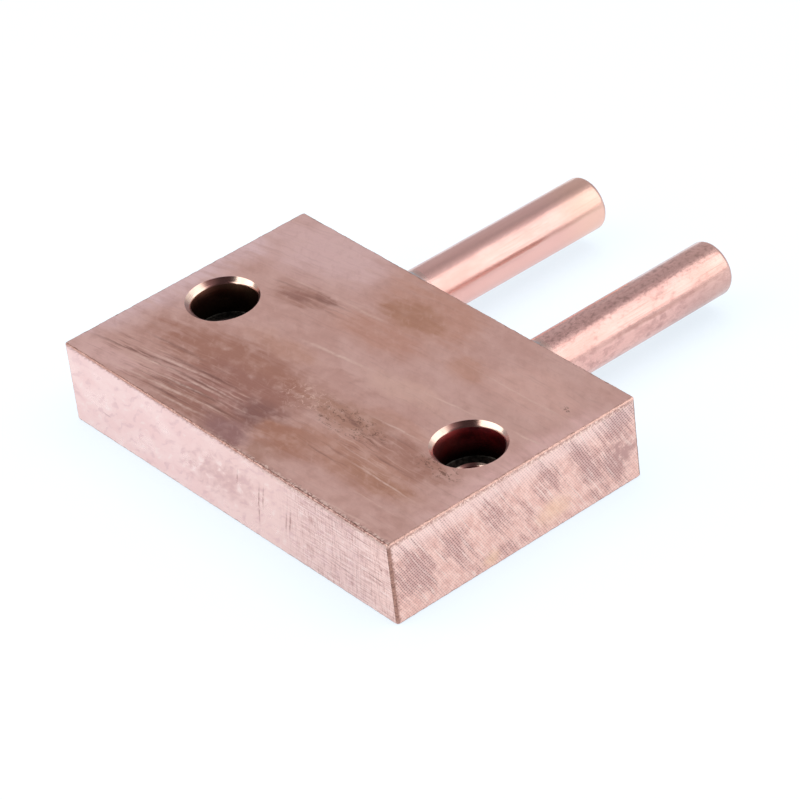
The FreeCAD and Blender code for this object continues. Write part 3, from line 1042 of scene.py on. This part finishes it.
def build_tube_braze(name, node, x, material):
    """The braze round one tube: a hollow fillet that has run unevenly, over its countersink."""
    arc = (BRAZE_FOOT**2 + BRAZE_RISE**2) / (2 * BRAZE_FOOT)
    sweep = math.asin(BRAZE_RISE / arc)
    turns = [sweep * (1 - step / FILLET_STEPS) for step in range(FILLET_STEPS + 1)]
    foot = TUBE_RADIUS + arc
    fillet = [(foot - arc * math.cos(turn), BRAZE_RISE - arc * math.sin(turn)) for turn in turns]
    outline = [
        (SPIGOT_RADIUS, -COUNTERSINK),
        (SPIGOT_RADIUS + COUNTERSINK, 0),
        *fillet,
        (SPIGOT_RADIUS, BRAZE_RISE),
    ]

    def uneven(radius, along, angle):
        """Ripples in the fillet's hollow, none at its edges."""
        middle = max(0.0, math.sin(math.pi * min(1.0, along / BRAZE_RISE)))
        at = (4 * math.cos(angle) + x, 4 * math.sin(angle), along)
        hollow = FILLET_RIPPLE * abs(rough(at, 0.7)) * middle
        return (-hollow if radius > TUBE_RADIUS else 0.0), 0.0

    bm = bmesh.new()
    lay_rings(bm, outline, Vector((x, HALF_WIDTH, TUBE_HEIGHT)), BACKWARD, uneven)
    add_piece(name, bm, [material], node)


def build_plug(plug_material, braze_material):
    """The gallery's plug and the ring of braze dressed flush round it."""
    place = Vector((-HALF_LENGTH, PLUG_Y, TUBE_HEIGHT))
    lip = PLUG_RADIUS - PLUG_GROOVE
    back = PLUG_LENGTH - PLUG_CHAMFER
    slug = [(0, 0), (DIMPLE_START, PLUG_DIMPLE), (DIMPLE_END, PLUG_DIMPLE), (lip, 0)]
    slug += [(PLUG_RADIUS, PLUG_GROOVE), (PLUG_RADIUS, back)]
    slug += [(PLUG_RADIUS - PLUG_CHAMFER, PLUG_LENGTH), (0, PLUG_LENGTH)]
    bm = bmesh.new()
    lay_rings(bm, slug, place, RIGHTWARD, closed=False)
    add_piece("gallery_slug", bm, [plug_material], "gallery_plug")
    ring = [(lip, 0), (PLUG_RADIUS - RING_HALF, RING_DIMPLE), (PLUG_RADIUS + RING_HALF, RING_DIMPLE)]
    ring += [(PLUG_RADIUS + PLUG_GROOVE, 0), (PLUG_RADIUS, PLUG_GROOVE)]
    bm = bmesh.new()
    lay_rings(bm, ring, place, RIGHTWARD)
    add_piece("gallery_braze", bm, [braze_material], "plug_braze_ring")


bar_finishes = (top_face, long_side, sawn_end, underside, broken_edge, hole_rim, bore, waterway)
build_bar([finish() for finish in bar_finishes])
inlet_copper = tube_finish("inlet_tube_copper", -TUBE_X, scuffs=0.3, gold=0.35, tarnish=0.0)
outlet_copper = tube_finish("outlet_tube_copper", TUBE_X, scuffs=0.6, gold=0.1, tarnish=0.8)
build_tube("inlet_water_tube", "inlet_tube", -TUBE_X, inlet_copper)
build_tube("outlet_water_tube", "outlet_tube", TUBE_X, outlet_copper)
tube_braze = braze_finish("tube_braze")
build_tube_braze("inlet_braze", "inlet_braze_ring", -TUBE_X, tube_braze)
build_tube_braze("outlet_braze", "outlet_braze_ring", TUBE_X, tube_braze)
build_plug(plug_finish(), braze_finish("plug_braze"))


# ------------------------ table, light and camera


def build_table():
    """A wide white table that glows for the camera and in the metal, and keeps the object's shadow.

    It is clear from below.
    """
    mesh = bpy.data.meshes.new("table")
    square = ((-1, -1), (1, -1), (1, 1), (-1, 1))
    corners = [(TABLE_HALF * x, TABLE_HALF * y, -TABLE_DROP) for x, y in square]
    mesh.from_pydata(corners, [], [(0, 1, 2, 3)])
    table = bpy.data.objects.new("table", mesh)
    bpy.context.scene.collection.objects.link(table)

    material = bpy.data.materials.new("white_table")
    material.use_nodes = True
    made = Graph(material.node_tree)
    made.nodes.clear()
    rays = made.node("ShaderNodeLightPath").outputs
    mirrored = made.math("MAXIMUM", rays["Is Glossy Ray"], rays["Is Transmission Ray"])
    seen = made.math("MAXIMUM", rays["Is Camera Ray"], mirrored)
    paper = made.shade("ShaderNodeBsdfDiffuse", (1, 1, 1, 1))
    glow = made.shade("ShaderNodeEmission", (0.885, 0.995, 1.08, 1))
    lit = made.blend(TABLE_GLOW, paper, glow)
    shown = made.blend(seen, paper, lit)
    from_below = made.node("ShaderNodeNewGeometry").outputs["Backfacing"]
    clear = made.shade("ShaderNodeBsdfTransparent", (1, 1, 1, 1))
    made.node("ShaderNodeOutputMaterial", [made.blend(from_below, shown, clear)])
    mesh.materials.append(material)


def build_world():
    """A white background for the camera. The metal sees a dim room with a dark and a bright side."""
    world = bpy.data.worlds.new("studio")
    bpy.context.scene.world = world
    world.use_nodes = True
    made = Graph(world.node_tree)
    made.nodes.clear()
    direction = made.node("ShaderNodeTexCoord").outputs["Generated"]
    to_dark = made.vector("DOT_PRODUCT", direction, aimed(*DARK_SIDE))
    to_lamp = made.vector("DOT_PRODUCT", direction, aimed(*RIGHT_LAMP))
    ambient = made.ease(to_dark, -0.3, 1, 0.47, 0.13)
    brightness = made.math("ADD", ambient, made.ease(to_lamp, 0.55, 0.9, 0, 0.45))
    room = made.shade("ShaderNodeBackground", (0.98, 0.99, 1.03, 1), brightness)
    white = made.shade("ShaderNodeBackground", (1, 1, 1, 1))
    camera = made.node("ShaderNodeLightPath").outputs["Is Camera Ray"]
    made.node("ShaderNodeOutputWorld", [made.blend(camera, room, white)])


def soft_box(name, direction, distance, width, height, radiance, mirrored=True):
    """A rectangular lamp that faces the object, sized and placed in metres."""
    back = aimed(*direction)
    lamp = bpy.data.lights.new(name, "AREA")
    lamp.shape = "RECTANGLE"
    lamp.size, lamp.size_y = width, height
    lamp.energy = radiance * math.pi * width * height
    holder = bpy.data.objects.new(name, lamp)
    holder.location = back * distance
    holder.rotation_mode = "QUATERNION"
    holder.rotation_quaternion = back.to_track_quat("Z", "Y")
    holder.visible_glossy = mirrored
    bpy.context.scene.collection.objects.link(holder)


def build_camera():
    """A long lens from the front right and above, rolled a little."""
    roll = math.radians(7.13)
    aim, distance = Vector((-3.98, 13.22, 0)) * MM, 649.8 * MM
    back = aimed(-36.58, 35.04)
    data = bpy.data.cameras.new("camera")
    data.lens = 181.8
    data.sensor_width = 36
    data.clip_start, data.clip_end = 0.01, 20
    camera = bpy.data.objects.new("camera", data)
    camera.location = aim + back * distance
    camera.rotation_mode = "QUATERNION"
    level = back.to_track_quat("Z", "Y")
    camera.rotation_quaternion = level @ Matrix.Rotation(-roll, 3, "Z").to_quaternion()
    bpy.context.scene.collection.objects.link(camera)
    bpy.context.scene.camera = camera


build_table()
build_world()
soft_box("right_soft_box", RIGHT_LAMP, 0.6, 0.60, 0.60, 0.75)
soft_box("left_soft_box", LEFT_LAMP, 0.6, 0.76, 0.44, 1.5)
soft_box("ceiling", CEILING, 0.9, 1.2, 1.2, 2.1, mirrored=False)
build_camera()
bpy.context.scene.view_settings.view_transform = "Standard"
